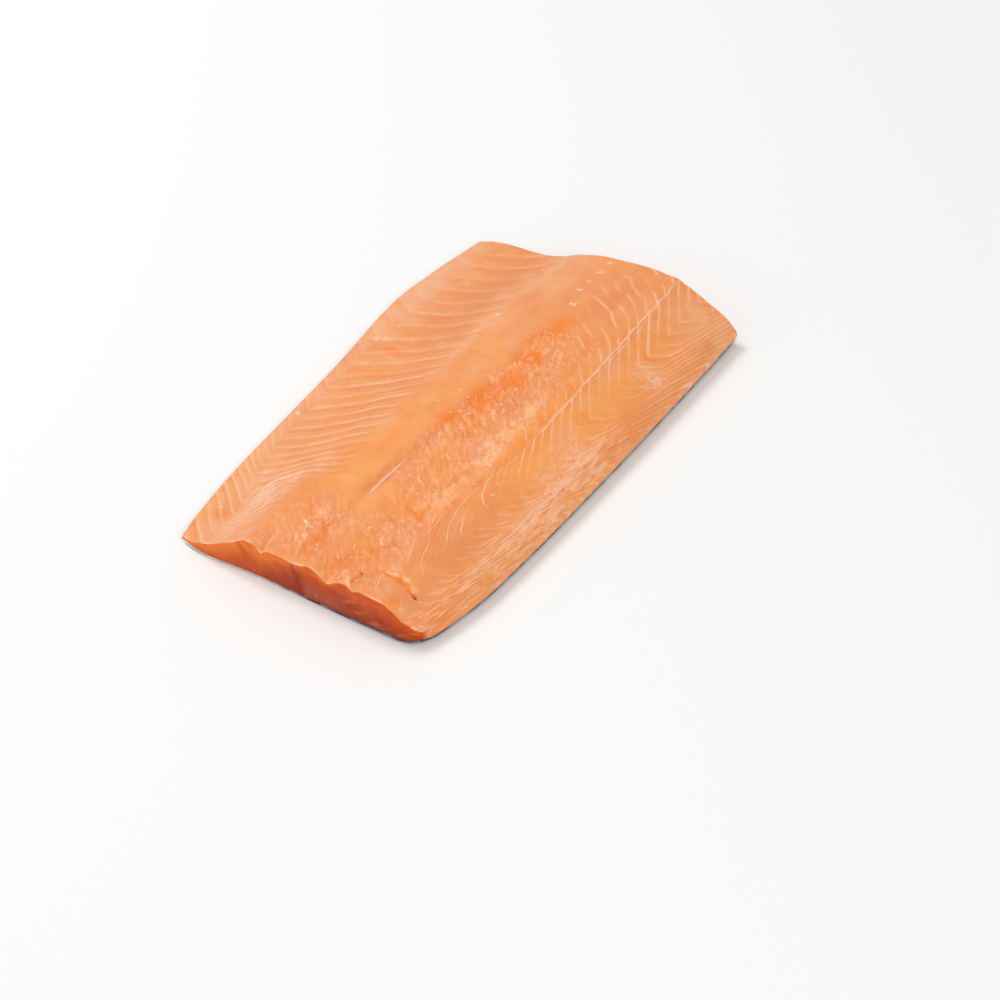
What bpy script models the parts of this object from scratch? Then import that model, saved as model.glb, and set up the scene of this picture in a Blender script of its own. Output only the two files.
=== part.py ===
"""Salmon loin: a thick skin-on side section, cut square at both ends and lying skin side down.

Metres, +Z up. +X runs from the thin belly edge to the thick back edge and +Y from the tail-side
cut to the head-side cut. The origin is the bottom centre of the whole piece. Dimensions are named
in millimetres and scaled once, when the meshes are made. Places on the piece are shares: across
runs from 0 at the belly edge to 1 at the back edge, along from 0 at the tail cut to 1 at the head.
"""

import bmesh
import bpy
import numpy as np

MILLIMETRE = 0.001

# Overall size. The centre is that of the piece's bounding box, seen from above.
LENGTH = 278.0
CENTRE_X = 67.5
CENTRE_Y = 138.2

# Outline seen from above: x of each edge at a share of the length, and y of the tail cut at a
# share of the width.
BELLY_EDGE = ((0.0, -0.7), (0.05, -4.2), (0.2, -8.8), (0.52, -12.6), (0.76, -17.2), (0.86, -14.2), (1.0, -7.2))
BACK_EDGE = ((0.0, 136.5), (0.02, 139.4), (0.05, 141.6), (0.17, 146.9), (0.42, 150.0), (0.72, 151.6), (1.0, 152.2))
TAIL_CUT = (
    (0.0, 0.6), (0.05, -1.1), (0.12, -1.6), (0.24, -0.5), (0.4, 0.1), (0.6, -0.2), (0.8, -0.7),
    (0.92, -0.6), (0.97, 1.0), (1.0, 4.4),
)

# Height of the top above the lowest point at a share of the width, for each of the two cuts.
TAIL_PROFILE = (
    (0.0, 3.0), (0.05, 5.4), (0.16, 12.0), (0.23, 16.8), (0.29, 20.4), (0.42, 20.4), (0.56, 20.2),
    (0.65, 18.0), (0.84, 16.2), (0.92, 13.0), (0.97, 10.4), (1.0, 7.6),
)
HEAD_PROFILE = (
    (0.0, 3.6), (0.06, 7.0), (0.13, 9.2), (0.25, 10.8), (0.33, 14.6), (0.4, 20.2), (0.54, 26.8),
    (0.71, 29.6), (0.81, 26.5), (0.89, 20.8), (0.97, 14.2), (1.0, 9.4),
)

# Skin, and the hairline left between it and the flesh.
SKIN_THICKNESS = 1.2
SKIN_GAP = 0.3
FLESH_BOTTOM = SKIN_THICKNESS + SKIN_GAP
THINNEST_FLESH = 1.2

# The underside is flat inside RIM_WIDTH of the edge and curls up a little outside it, all along
# the two side edges and in a few places: x, y, height and reach of each.
RIM_WIDTH = 18.0
RIM_STEPS = 3
BACK_CURL = 0.8
BELLY_CURL = 0.4
CURL_SHARE = 0.1
LIFTED_PLACES = ((-1.0, 0.0, 0.8, 12.0), (115.0, 0.0, 1.3, 17.0), (152.0, 278.0, 0.8, 20.0))

# Groove along the middle, where the backbone lay: x of its line and its depth, both by y.
MIDLINE = ((0.0, 67.0), (30.0, 69.0), (60.0, 68.5), (100.0, 72.5), (150.0, 77.5), (200.0, 79.0), (278.0, 77.5))
GROOVE_DEPTH = ((0.0, 1.3), (60.0, 1.5), (170.0, 1.2), (278.0, 0.5))
GROOVE_WIDTH = 4.2

# Low ridge of fat where the pin bones were, and the scraped trough between it and the groove.
PIN_LINE = ((0.0, 117.0), (40.0, 110.0), (70.0, 108.0), (100.0, 110.5), (150.0, 115.0), (278.0, 117.0))
PIN_RIDGE = 0.7
PIN_RIDGE_WIDTH = 3.2
TROUGH_DEPTH = 0.9
TROUGH_FLANK = 9.0

# Flakes of the belly side: each runs from the belly edge down to a bend, then back up to the
# middle. The tables give x of the bend, the number of flakes passed and the outer slope, by y.
FLAKE_BEND = ((0.0, 16.0), (40.0, 8.0), (65.0, 2.0), (100.0, -3.0), (150.0, -5.0), (215.0, -1.0), (278.0, 4.0))
FLAKE_COUNT = (
    (0.0, 0.0), (20.0, 4.4), (50.0, 9.4), (75.0, 13.0), (110.0, 17.0), (150.0, 21.0), (200.0, 25.0), (278.0, 31.0),
)
FLAKE_OUTER_SLOPE = ((0.0, 2.6), (95.0, 1.45), (205.0, 0.75), (278.0, 0.6))
FLAKE_RISE = 0.15
FLAKE_CURVE = 0.007
FLAKE_HEIGHT = 0.38
FLAKES_END = 52.0
FLAKES_FADE = 18.0
FLAKES_START = 45.0
FLAKES_FULL = 80.0

# Flakes of the back side point the other way: their bend lies at a share of the way from the
# pin line to the back edge.
BACK_FLAKE_BEND = 0.55
BACK_FLAKE_SLOPE = 1.9
BACK_FLAKE_SPACING = 8.5
BACK_FLAKE_HEIGHT = 0.3

# Nicks and torn lips along the tail cut: x, height and half width of each.
CUT_NICKS = (
    (42.5, 0.9, 2.6), (47.0, -2.2, 2.4), (66.5, -0.6, 3.4), (74.5, 0.7, 4.0),
    (81.0, -0.5, 2.6), (92.5, 1.2, 3.4), (98.5, -1.4, 3.0), (104.5, 0.9, 3.4), (125.0, 0.5, 4.0),
)
NICK_REACH = 7.0

# Walls: how far they swell, and the slanted flakes seen end on in the two cuts.
SIDE_SWELL = 1.0
CUT_SWELL = 0.3
CUT_FLAKE_SPACING = 11.0
CUT_FLAKE_SLANT = 0.8
CUT_FLAKE_DEPTH = 0.4

# Mesh density. The columns are drawn a little towards the back edge, where the top is steep.
FLESH_COLUMNS = 46
FLESH_ROWS = 80
COLUMN_DRAW = 0.05
WALL_STEPS = 3
SKIN_COLUMNS = 22
SKIN_ROWS = 40
SMOOTH_ANGLE = 40.0


def curve(knots, at):
    """A smooth curve through the knots (place, value) that never swings past them."""
    places, values = np.array(knots, float).T
    steps = np.diff(places)
    slopes = np.diff(values) / steps
    before, after = slopes[:-1], slopes[1:]
    same_way = before * after > 0
    inner = np.where(same_way, 2 * before * after / np.where(same_way, before + after, 1), 0)
    tangents = np.concatenate([slopes[:1], inner, slopes[-1:]])
    at = np.clip(at, places[0], places[-1])
    span = np.clip(np.searchsorted(places, at, side="right") - 1, 0, len(steps) - 1)
    share = (at - places[span]) / steps[span]
    rise = values[span + 1] - values[span]
    leave = tangents[span] * steps[span]
    arrive = tangents[span + 1] * steps[span]
    bend = 3 * rise - 2 * leave - arrive
    return values[span] + share * (leave + share * (bend + share * (leave + arrive - 2 * rise)))


def fade(value, start, end):
    """0 before start, 1 past end and a smooth step between them."""
    share = np.clip((value - start) / (end - start), 0, 1)
    return share * share * (3 - 2 * share)


def hump(distance, width):
    """A rounded bump of height 1."""
    return np.exp(-((distance / width) ** 2))


def plan(across, along):
    """x and y in millimetres of a place given as shares."""
    left = curve(BELLY_EDGE, along)
    right = curve(BACK_EDGE, along)
    cut = curve(TAIL_CUT, across)
    return left + across * (right - left), cut + along * (LENGTH - cut)


def curl(across, along):
    """How far the underside is lifted at the very edge of the piece."""
    x, y = plan(across, along)
    places = sum(
        height * hump(np.hypot(x - place_x, y - place_y), reach)
        for place_x, place_y, height, reach in LIFTED_PLACES
    )
    sides = BACK_CURL * fade(across, 1 - CURL_SHARE, 1) + BELLY_CURL * fade(across, CURL_SHARE, 0)
    return places + sides


def belly_flakes(x, y):
    """Wave of the belly flakes, -1 to 1, fading out towards the middle and the tail cut."""
    past_bend = x - curve(FLAKE_BEND, y)
    inward = np.maximum(past_bend, 0)
    outward = np.maximum(-past_bend, 0)
    climb = FLAKE_RISE * inward + FLAKE_CURVE * inward**2 + curve(FLAKE_OUTER_SLOPE, y) * outward
    wave = np.cos(2 * np.pi * curve(FLAKE_COUNT, y - climb))
    return wave * fade(x, FLAKES_END, FLAKES_END - FLAKES_FADE) * fade(y, FLAKES_START, FLAKES_FULL)


def back_flakes(x, y, back_x):
    """Wave of the back flakes, -1 to 1, between the pin line and the back edge."""
    pin_x = curve(PIN_LINE, y)
    share = (x - pin_x) / (back_x - pin_x)
    climb = BACK_FLAKE_SLOPE * np.abs(x - pin_x - BACK_FLAKE_BEND * (back_x - pin_x))
    wave = np.cos(2 * np.pi * (y - climb) / BACK_FLAKE_SPACING)
    return wave * fade(share, 0, 0.25) * fade(share, 1, 0.8)


def scraped(x, y):
    """Uneven surface, about -1 to 1, left where the middle was scraped clean."""
    long_waves = np.sin(0.41 * x + 0.13 * y) * np.sin(0.29 * y - 0.17 * x)
    short_waves = np.sin(0.77 * x - 0.35 * y) * np.sin(0.57 * y + 0.21 * x)
    return 0.6 * long_waves + 0.4 * short_waves


def top_height(across, along):
    """Height of the top: the two cut profiles blended, and the relief on them."""
    x, y = plan(across, along)
    smooth = (1 - along) * curve(TAIL_PROFILE, across) + along * curve(HEAD_PROFILE, across)
    middle = curve(MIDLINE, y)
    pin_x = curve(PIN_LINE, y)
    trough = fade(x, middle, middle + TROUGH_FLANK) * fade(x, pin_x, pin_x - TROUGH_FLANK)
    nicks = sum(height * hump(x - place, width) for place, height, width in CUT_NICKS)
    relief = (
        FLAKE_HEIGHT * belly_flakes(x, y)
        + BACK_FLAKE_HEIGHT * back_flakes(x, y, curve(BACK_EDGE, along))
        - curve(GROOVE_DEPTH, y) * hump(x - middle, GROOVE_WIDTH)
        + PIN_RIDGE * hump(x - pin_x, PIN_RIDGE_WIDTH)
        - TROUGH_DEPTH * trough * (0.6 + 0.4 * scraped(x, y))
        + nicks * hump(y, NICK_REACH)
    )
    inside = fade(across, 0, 0.04) * fade(across, 1, 0.96)
    lowest = FLESH_BOTTOM + THINNEST_FLESH + curl(across, along)
    return np.maximum(smooth + relief * inside, lowest)


def top_point(across, along):
    """A point of the flesh's top."""
    return (*plan(across, along), top_height(across, along))


def wall_point(across, along, level):
    """A point of the flesh's outer wall, from its bottom edge at level 0 to the top at level 1."""
    x, y = plan(across, along)
    bottom = FLESH_BOTTOM + curl(across, along)
    z = bottom + level * (top_height(across, along) - bottom)
    swell = 4 * level * (1 - level)
    outward_x = float(across == 1) - float(across == 0)
    outward_y = float(along == 1) - float(along == 0)
    flakes = np.cos(2 * np.pi * (x + CUT_FLAKE_SLANT * z) / CUT_FLAKE_SPACING)
    x += outward_x * SIDE_SWELL * swell
    y += outward_y * (CUT_SWELL + CUT_FLAKE_DEPTH * flakes) * swell
    return x, y, z


def underside_point(across, along, inset, height):
    """A point of a surface that runs parallel to the underside, inset from the edge."""
    share_x = inset / (curve(BACK_EDGE, along) - curve(BELLY_EDGE, along))
    share_y = inset / LENGTH
    x, y = plan(share_x + across * (1 - 2 * share_x), share_y + along * (1 - 2 * share_y))
    return x, y, height + curl(across, along) * (1 - inset / RIM_WIDTH) ** 2


def rim_insets():
    """Distances from the edge of the rings that lead from it to the flat underside."""
    return [RIM_WIDTH * step / RIM_STEPS for step in range(RIM_STEPS + 1)]


def border(columns, rows):
    """Shares of the points round the border of a grid, once round."""
    return (
        [(column / columns, 0.0) for column in range(columns)]
        + [(1.0, row / rows) for row in range(rows)]
        + [(1 - column / columns, 1.0) for column in range(columns)]
        + [(0.0, 1 - row / rows) for row in range(rows)]
    )


def open_edges(mesh):
    """The edges round the mesh's opening."""
    return [edge for edge in mesh.edges if edge.is_boundary]


def extrude_ring(mesh, place):
    """Extrudes the open edge by one ring and moves each point to place(across, along)."""
    shares = mesh.verts.layers.float_vector["shares"]
    made = bmesh.ops.extrude_edge_only(mesh, edges=open_edges(mesh))["geom"]
    for item in made:
        if isinstance(item, bmesh.types.BMVert):
            across, along, _ = item[shares]
            item.co = place(across, along)


def close(mesh):
    """Closes the flat opening that is left, and turns every face outwards."""
    bmesh.ops.contextual_create(mesh, geom=open_edges(mesh))
    bmesh.ops.triangulate(mesh, faces=[face for face in mesh.faces if len(face.verts) > 4])
    bmesh.ops.recalc_face_normals(mesh, faces=mesh.faces)


def flesh_mesh():
    """The flesh: the relief of the top, its walls, and the underside that lies on the skin."""
    mesh = bmesh.new()
    shares = mesh.verts.layers.float_vector.new("shares")
    bmesh.ops.create_grid(mesh, x_segments=FLESH_COLUMNS, y_segments=FLESH_ROWS, size=0.5)
    for vert in mesh.verts:
        column = round((vert.co.x + 0.5) * FLESH_COLUMNS) / FLESH_COLUMNS
        row = round((vert.co.y + 0.5) * FLESH_ROWS) / FLESH_ROWS
        across = float(column + COLUMN_DRAW * np.sin(np.pi * column)) if 0 < column < 1 else column
        vert[shares] = (across, row, 0)
        vert.co = top_point(across, row)
    for step in reversed(range(WALL_STEPS)):
        extrude_ring(mesh, lambda across, along: wall_point(across, along, step / WALL_STEPS))
    for inset in rim_insets()[1:]:
        extrude_ring(mesh, lambda across, along: underside_point(across, along, inset, FLESH_BOTTOM))
    close(mesh)
    return mesh


def skin_mesh():
    """The skin: a thin layer that follows the underside of the flesh, from its inner face out."""
    mesh = bmesh.new()
    shares = mesh.verts.layers.float_vector.new("shares")
    inner = []
    for share in border(SKIN_COLUMNS, SKIN_ROWS):
        inner.append(mesh.verts.new(underside_point(*share, RIM_WIDTH, SKIN_THICKNESS)))
        inner[-1][shares] = (*share, 0)
    mesh.faces.new(inner)
    for inset in reversed(rim_insets()[:-1]):
        extrude_ring(mesh, lambda across, along: underside_point(across, along, inset, SKIN_THICKNESS))
    for inset in rim_insets():
        extrude_ring(mesh, lambda across, along: underside_point(across, along, inset, 0.0))
    close(mesh)
    return mesh


def surface(name, colour, roughness):
    """A plain material of one colour."""
    made = bpy.data.materials.new(name)
    made.use_nodes = True
    shader = made.node_tree.nodes["Principled BSDF"]
    shader.inputs["Base Color"].default_value = (*colour, 1.0)
    shader.inputs["Roughness"].default_value = roughness
    shader.inputs["Metallic"].default_value = 0.0
    return made


def add_object(name, mesh, material):
    """Centres a mesh on the origin, scales it from millimetres and links it to the scene."""
    for vert in mesh.verts:
        vert.co.x -= CENTRE_X
        vert.co.y -= CENTRE_Y
        vert.co *= MILLIMETRE
    data = bpy.data.meshes.new(name)
    mesh.to_mesh(data)
    mesh.free()
    data.shade_smooth()
    data.set_sharp_from_angle(angle=np.radians(SMOOTH_ANGLE))
    data.materials.append(material)
    bpy.context.scene.collection.objects.link(bpy.data.objects.new(name, data))


def main():
    for old in list(bpy.data.objects):
        bpy.data.objects.remove(old)
    add_object("flesh", flesh_mesh(), surface("flesh", (0.86, 0.33, 0.13), 0.35))
    add_object("skin", skin_mesh(), surface("skin", (0.30, 0.32, 0.34), 0.30))


main()
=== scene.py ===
"""Looks of the salmon loin: moist orange flesh with pale fat lines, on its silver-grey skin.

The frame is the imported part's: metres, +Z up, +X from the belly edge to the back edge and +Y from
the tail-side cut to the head-side cut. Shapes are worked out in the part's own plan, in
millimetres, with x from near the belly edge and y from the tail cut, and put() turns them into
the frame. The shares across (0 at the belly edge, 1 at the back edge) and along (0 at the tail
cut, 1 at the head cut) are the part's own, and so are the tables of its outline and heights.
"""

import bmesh
import bpy
import numpy as np
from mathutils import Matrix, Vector


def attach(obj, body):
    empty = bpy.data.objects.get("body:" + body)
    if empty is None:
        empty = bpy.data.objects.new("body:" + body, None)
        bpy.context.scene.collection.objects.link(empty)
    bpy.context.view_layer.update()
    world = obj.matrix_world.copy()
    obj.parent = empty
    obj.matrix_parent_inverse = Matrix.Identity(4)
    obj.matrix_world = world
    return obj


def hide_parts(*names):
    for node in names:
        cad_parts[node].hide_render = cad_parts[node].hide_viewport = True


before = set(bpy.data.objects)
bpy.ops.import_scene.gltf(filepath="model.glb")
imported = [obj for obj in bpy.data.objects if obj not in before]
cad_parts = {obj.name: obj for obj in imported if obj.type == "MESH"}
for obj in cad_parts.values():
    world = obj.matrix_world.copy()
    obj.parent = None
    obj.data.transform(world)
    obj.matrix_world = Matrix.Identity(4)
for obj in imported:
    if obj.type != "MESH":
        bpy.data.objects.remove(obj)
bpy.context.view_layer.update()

MILLIMETRE = 0.001

# The part's size and place.
LENGTH = 278.0
CENTRE_X = 67.5
CENTRE_Y = 138.2

# Outline seen from above.
BELLY_EDGE = (
    (0, -0.7), (0.05, -4.2), (0.2, -8.8), (0.52, -12.6), (0.76, -17.2), (0.86, -14.2), (1, -7.2),
)
BACK_EDGE = (
    (0, 136.5), (0.02, 139.4), (0.05, 141.6), (0.17, 146.9), (0.42, 150), (0.72, 151.6), (1, 152.2),
)
TAIL_CUT = (
    (0, 0.6), (0.05, -1.1), (0.12, -1.6), (0.24, -0.5), (0.4, 0.1), (0.6, -0.2), (0.8, -0.7),
    (0.92, -0.6), (0.97, 1), (1, 4.4),
)

# Height of the top above the lowest point along each of the two cuts.
TAIL_PROFILE = (
    (0, 3), (0.05, 5.4), (0.16, 12), (0.23, 16.8), (0.29, 20.4), (0.42, 20.4), (0.56, 20.2),
    (0.65, 18), (0.84, 16.2), (0.92, 13), (0.97, 10.4), (1, 7.6),
)
HEAD_PROFILE = (
    (0, 3.6), (0.06, 7), (0.13, 9.2), (0.25, 10.8), (0.33, 14.6), (0.4, 20.2), (0.54, 26.8),
    (0.71, 29.6), (0.81, 26.5), (0.89, 20.8), (0.97, 14.2), (1, 9.4),
)

# Skin, and the rim over which the underside curls up.
SKIN_THICKNESS = 1.2
FLESH_BOTTOM = 1.5
THINNEST_FLESH = 1.2
FLESH_SINK = 0.25
RIM_WIDTH = 18.0
RIM_STEPS = 3
BACK_CURL = 0.8
BELLY_CURL = 0.4
CURL_SHARE = 0.1
LIFTED_PLACES = ((-1, 0, 0.8, 12), (115, 0, 1.3, 17), (152, 278, 0.8, 20))

# Groove along the middle, ridge of the pin bones and the scraped trough between them.
MIDLINE = ((0, 67), (30, 69), (60, 68.5), (100, 72.5), (150, 77.5), (200, 79), (278, 77.5))
GROOVE_DEPTH = ((0, 1.3), (60, 1.5), (170, 1.2), (278, 0.5))
GROOVE_WIDTH = 4.2
PIN_LINE = ((0, 117), (40, 110), (70, 108), (100, 110.5), (150, 115), (278, 117))
PIN_RIDGE = 0.7
PIN_RIDGE_WIDTH = 3.2
TROUGH_DEPTH = 0.9
TROUGH_FLANK = 9.0

# Flakes of the belly side: their bend, how many lines lie below y, and the slopes beside the bend.
FLAKE_BEND = ((0, 17), (25, 15), (45, 9), (65, 2), (100, -3), (150, -5), (215, -1), (278, 4))
FLAKE_COUNT = (
    (-80, -6), (0, 3.6), (40, 8.3), (75, 13), (110, 17), (150, 21),
    (200, 25), (278, 31), (330, 35),
)
FLAKE_OUTER_SLOPE = ((0, 0.85), (30, 1.15), (60, 1.4), (95, 1.4), (205, 0.8), (278, 0.6))
FLAKE_RISE = ((0, 0.7), (40, 0.45), (70, 0.25), (278, 0.15))
FLAKE_SWEEP = ((0, 24), (25, 30), (45, 22), (60, 7), (80, 0))
FLAKE_SWEEP_FROM = 14.0
FLAKE_SWEEP_TO = 31.0
FLAKE_CURVE = 0.007
FLAKE_HEIGHT = 0.16

# Flakes of the back side, on both sides of their bend.
BACK_BEND = 0.42
BACK_COUNT = ((-150, -17), (0, 0), (180, 20.5), (278, 30.4), (330, 35.6))
BACK_SLOPE_IN = ((0, 2.4), (70, 2), (120, 1.5), (200, 1.45), (278, 1.7))
BACK_STEEPEN_IN = ((0, 0.08), (100, 0.06), (150, 0.02), (278, 0))
BACK_SLOPE_OUT = ((0, 1.2), (90, 1.2), (150, 1), (278, 1.4))
BACK_EDGE_SLOPE = 4.5
BACK_EDGE_FROM = 7.0
BACK_EDGE_EASE = 3.0
BACK_FLAKE_HEIGHT = 0.14

# Flakes between the groove and the pin bones.
MIDDLE_SPACING = 8.8
MIDDLE_SLOPE = 0.5
MIDDLE_DROP = 7.0
MIDDLE_DROP_WIDTH = 6.0
MIDDLE_FLAKE_HEIGHT = 0.1

# Nicks and torn lips along the tail cut: x, height and half width of each.
CUT_NICKS = (
    (39.5, 1.2, 4.4), (47, -3.4, 2.3), (75.8, 2.7, 5), (85, -1.4, 2.8),
    (101.6, -1.3, 1.5), (128.6, -1.2, 1.8),
)
NICK_REACH = 8.5

# Widths that share out the line of the tail cut and the tones of both cuts.
TAIL_WIDTH = 137.0
CUT_WIDTH = 140.0

# The flake that stands up beside the tail cut: where it starts and ends across, and its height.
FLAP_FROM = 86.0
FLAP_TO = 139.0
FLAP_HEIGHT = 4.5
FLAP_LENGTH = 21.0

# Walls.
SIDE_SWELL = 1.0
CUT_SWELL = 0.3
CUT_FLAKE_SPACING = 11.0
CUT_FLAKE_SLANT = 0.8
CUT_FLAKE_DEPTH = 0.1
CUT_RAGGED = 0.7

# Tears of the top, as ridges and cracks: points of the line, half width and height.
LIPS = (
    (((89.3, 10.6), (92.6, 5.4), (96.3, 3.3), (100.6, 0.3)), 1, 1),
    (((101.8, 9), (100.2, 6.8)), 0.9, 0.6),
    (((115.6, 21.8), (119, 22.8)), 1.2, 0.3), (((122.3, 19.2), (124.8, 18)), 1.1, 0.4),
    (((43.8, 3.6), (45.8, 1.2), (49.4, 0.6)), 0.9, 0.3), (((82, 3.4), (83.6, 0.6)), 0.8, 0.3),
    (((52, 30), (56, 24), (61, 17)), 0.8, 0.3),
)
CRACKS = (
    (((105, 19.4), (111.4, 20.2)), 0.9, 0.35), (((113.8, 17.6), (117.8, 19.8)), 1.2, 0.45),
    (((120.4, 18.8), (123, 16), (125.4, 15.4)), 1, 0.5), (((95.6, 3.4), (99.3, 3)), 0.5, 0.7),
    (((97.3, 13.9), (97.9, 7.8), (99.6, 3.4), (101.8, 0.8)), 0.8, 1.5),
    (((4, 25), (9, 20.5), (14, 16.5)), 0.8, 0.6),
    (((50, 39), (54, 33), (59, 29)), 0.9, 0.5),
    (((108.6, 78), (107.8, 72), (109, 67)), 0.8, 0.6),
)

# The lip that hangs out over the tail cut, and the small dark hole near it.
LIP_X = 100.4
LIP_WIDTH = 2.2
LIP_REACH = 1.0
HOLE_X = 125.4
HOLE_Y = 15.4
HOLE_WIDTH = 1.7
HOLE_DEPTH = 1.6

# Mesh density.
TOP_COLUMNS = 210
TOP_ROWS = 366
WALL_LEVELS = (0.97, 0.9, 0.8, 0.7, 0.6, 0.5, 0.4, 0.3, 0.2, 0.1, 0)
ROW_DRAW = 1.12
SKIN_COLUMNS = 150
SKIN_ROWS = 260
SHARP_ANGLE = 58.0
CRUMB_SUBDIVISIONS = 2
STRAND_SIDES = 6
STRAND_FLATNESS = 0.45

# Size of the noise's lattice, and the step over which slopes are measured.
LATTICE = 64
PROBE = 0.25

# Patches: x, y, half width, half length and strength.
ORANGE_SPOTS = (
    (83, 212, 5, 10, 0.85), (76, 197, 5, 5, 0.6), (84.5, 187, 5.5, 6, 1.1), (84, 167, 5.5, 8, 1.15),
    (79, 150, 6, 9, 1.3), (82, 136, 4, 6, 0.7), (73, 127, 4.5, 6, 0.8), (72, 99, 3, 6, 0.3),
    (71, 115, 3, 6, 0.5), (113.8, 174, 3, 6, 0.4), (112.5, 150, 3.4, 7, 0.4),
    (112.5, 131, 3.6, 8, 0.25), (112.6, 111, 2.6, 6, 0.6), (111.2, 94, 1.8, 4, 0.7),
    (108.4, 73, 2, 6, 0.6), (94, 60, 9, 9, 0.4), (108.3, 20, 3.2, 1.4, 0.9),
    (115.8, 18.9, 3.2, 1.5, 1.1), (122.2, 16.8, 2.2, 1.6, 1), (97.8, 9, 1.5, 4, 0.8),
    (10, 167, 9, 3.4, 0.75), (6, 146, 9, 4, 0.4), (8, 21, 4, 3.5, 0.7), (52, 37, 3, 5, 0.2),
    (60, 31, 4, 6, 0.3), (66, 18, 4, 9, 0.4), (45, 52, 6, 6, 0.2), (90, 24, 9, 9, 0.3),
    (56, 100, 5, 18, 0.15), (134, 5, 3, 4, 0.6), (121.6, 4.5, 2.2, 2.4, 0.6), (140, 14, 8, 9, 0.4),
    (84, 12, 8, 6, 0.4),
)
PALE_SPOTS = (
    (21, 34, 4, 17, 0.85), (9, 52, 3, 14, 0.45), (28, 56, 5, 6, 0.5), (20, 10, 8, 8, 0.5),
    (141, 118, 4, 26, 0.7), (134, 140, 7, 14, 0.4), (140, 213, 8, 4, 0.8), (132, 116, 5, 5, 0.3),
    (142, 88, 3.5, 12, 0.6), (44, 185, 4, 26, 0.4), (36, 70, 7, 10, 0.3), (-3, 175.5, 7, 1.6, 1),
    (13, 178, 6, 1.2, 0.6), (12, 161.5, 8, 1.1, 0.5), (1, 153, 7, 1.3, 0.7), (50, 206, 9, 9, 0.35),
    (18.8, 42, 1.5, 7, 1.3), (23.6, 38, 1.2, 6, 0.8), (27.6, 32, 1.3, 6, 0.6), (14, 40, 1.2, 6, 0.4),
    (57.5, 36.5, 2.2, 2.6, 0.6), (104, 112, 5, 12, 0.5), (104, 77, 4, 7, 0.6), (96, 54, 5, 3, 0.5),
    (105, 148, 4, 14, 0.4), (11, 236, 3, 2, 0.5), (9, 247, 3, 2, 0.5), (113, 6, 6, 4, 0.3),
    (125.4, 4.5, 2.2, 4, 0.8), (74.5, 163, 3, 2, 0.9), (87.5, 192.5, 1.4, 2.8, 0.9),
    (105, 158, 2, 9, 0.6), (106, 113, 3, 5, 0.8), (107, 126, 2, 8, 0.6), (99, 122, 2, 4, 0.5),
    (58, 35, 3, 5, 0.5),
    (45.9, 213, 1.6, 1.3, 0.7), (78.7, 233.5, 1.6, 1.3, 0.7), (75.5, 246, 1.6, 1.3, 0.7),
    (76, 254, 1.6, 1.3, 0.7), (78, 264, 1.6, 1.3, 0.7), (77.7, 273.8, 1.6, 1.3, 0.7),
)
RED_SPOTS = (
    (71, 100, 3.5, 18, 0.5), (77, 182, 3, 8, 0.5), (66.4, 73, 1.5, 9, 2.2), (70.5, 76, 1.2, 7, 1.4),
    (66.5, 52, 1.8, 8, 0.5), (74, 140, 4, 12, 0.45), (96, 32, 1.6, 5, 0.6), (60, 32, 3, 6, 0.45),
    (98, 108, 7, 14, 0.35), (70, 18, 2, 8, 0.4), (78, 235, 4, 20, 0.3),
)
RAGGED_SPOTS = ((60, 27, 9, 14, 0.8), (95, 44, 9, 14, 0.7), (84, 12, 16, 7, 0.5))
STREAKY_SPOTS = ((140, 213, 7, 6, 0.7), (134, 132, 7, 24, 0.4))

# Broad fields of tone, in the same form: pale ones that are partly painted sheen and painted light
# where the surface faces the light, dusky ones that are partly painted shade where it slopes away from
# the light, and sunny golden ones.
PALE_AND_SHEEN_FIELDS = (
    (-7, 226, 15, 46, 1), (-11, 120, 7, 60, 0.6), (24, 30, 12, 20, 0.6), (60, 250, 18, 26, 0.4),
    (136, 264, 16, 18, 0.6), (0, 60, 16, 50, 0.35), (60, 110, 10, 50, 0.2),
)
DUSKY_AND_SHADE_FIELDS = (
    (27, 222, 15, 46, 1), (98, 248, 18, 30, 0.7), (94, 156, 8, 34, 0.7), (126, 54, 15, 34, 0.7),
    (26, 140, 14, 30, 0.3), (74, 160, 4, 40, 0.3), (98, 46, 12, 18, 0.6), (72, 20, 22, 20, 0.5),
)
SUNNY_FIELDS = (
    (54, 112, 12, 40, 0.9), (56, 66, 10, 18, 0.7), (126, 140, 10, 36, 0.7), (-6, 40, 6, 36, 0.8),
    (108, 140, 8, 34, 0.8), (16, 128, 12, 44, 0.5), (82, 170, 8, 44, 0.6), (128, 190, 12, 40, 0.6),
    (98, 60, 14, 30, 0.4),
)

# Turn of the torn strokes, in degrees from +X.
STROKE_TURN = -52.0


def curve(knots, at):
    """A smooth curve through the knots (place, value) that never swings past them."""
    places, values = np.array(knots, float).T
    steps = np.diff(places)
    slopes = np.diff(values) / steps
    before, after = slopes[:-1], slopes[1:]
    same_way = before * after > 0
    inner = np.where(same_way, 2 * before * after / np.where(same_way, before + after, 1), 0)
    tangents = np.concatenate([slopes[:1], inner, slopes[-1:]])
    at = np.clip(at, places[0], places[-1])
    span = np.clip(np.searchsorted(places, at, side="right") - 1, 0, len(steps) - 1)
    share = (at - places[span]) / steps[span]
    rise = values[span + 1] - values[span]
    leave = tangents[span] * steps[span]
    arrive = tangents[span + 1] * steps[span]
    bend = 3 * rise - 2 * leave - arrive
    return values[span] + share * (leave + share * (bend + share * (leave + arrive - 2 * rise)))


def fade(value, start, end):
    """0 before start, 1 past end and a smooth step between them."""
    share = np.clip((value - start) / (end - start), 0, 1)
    return share * share * (3 - 2 * share)


def hump(distance, width):
    """A rounded bump of height 1."""
    return np.exp(-((distance / width) ** 2))


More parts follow.
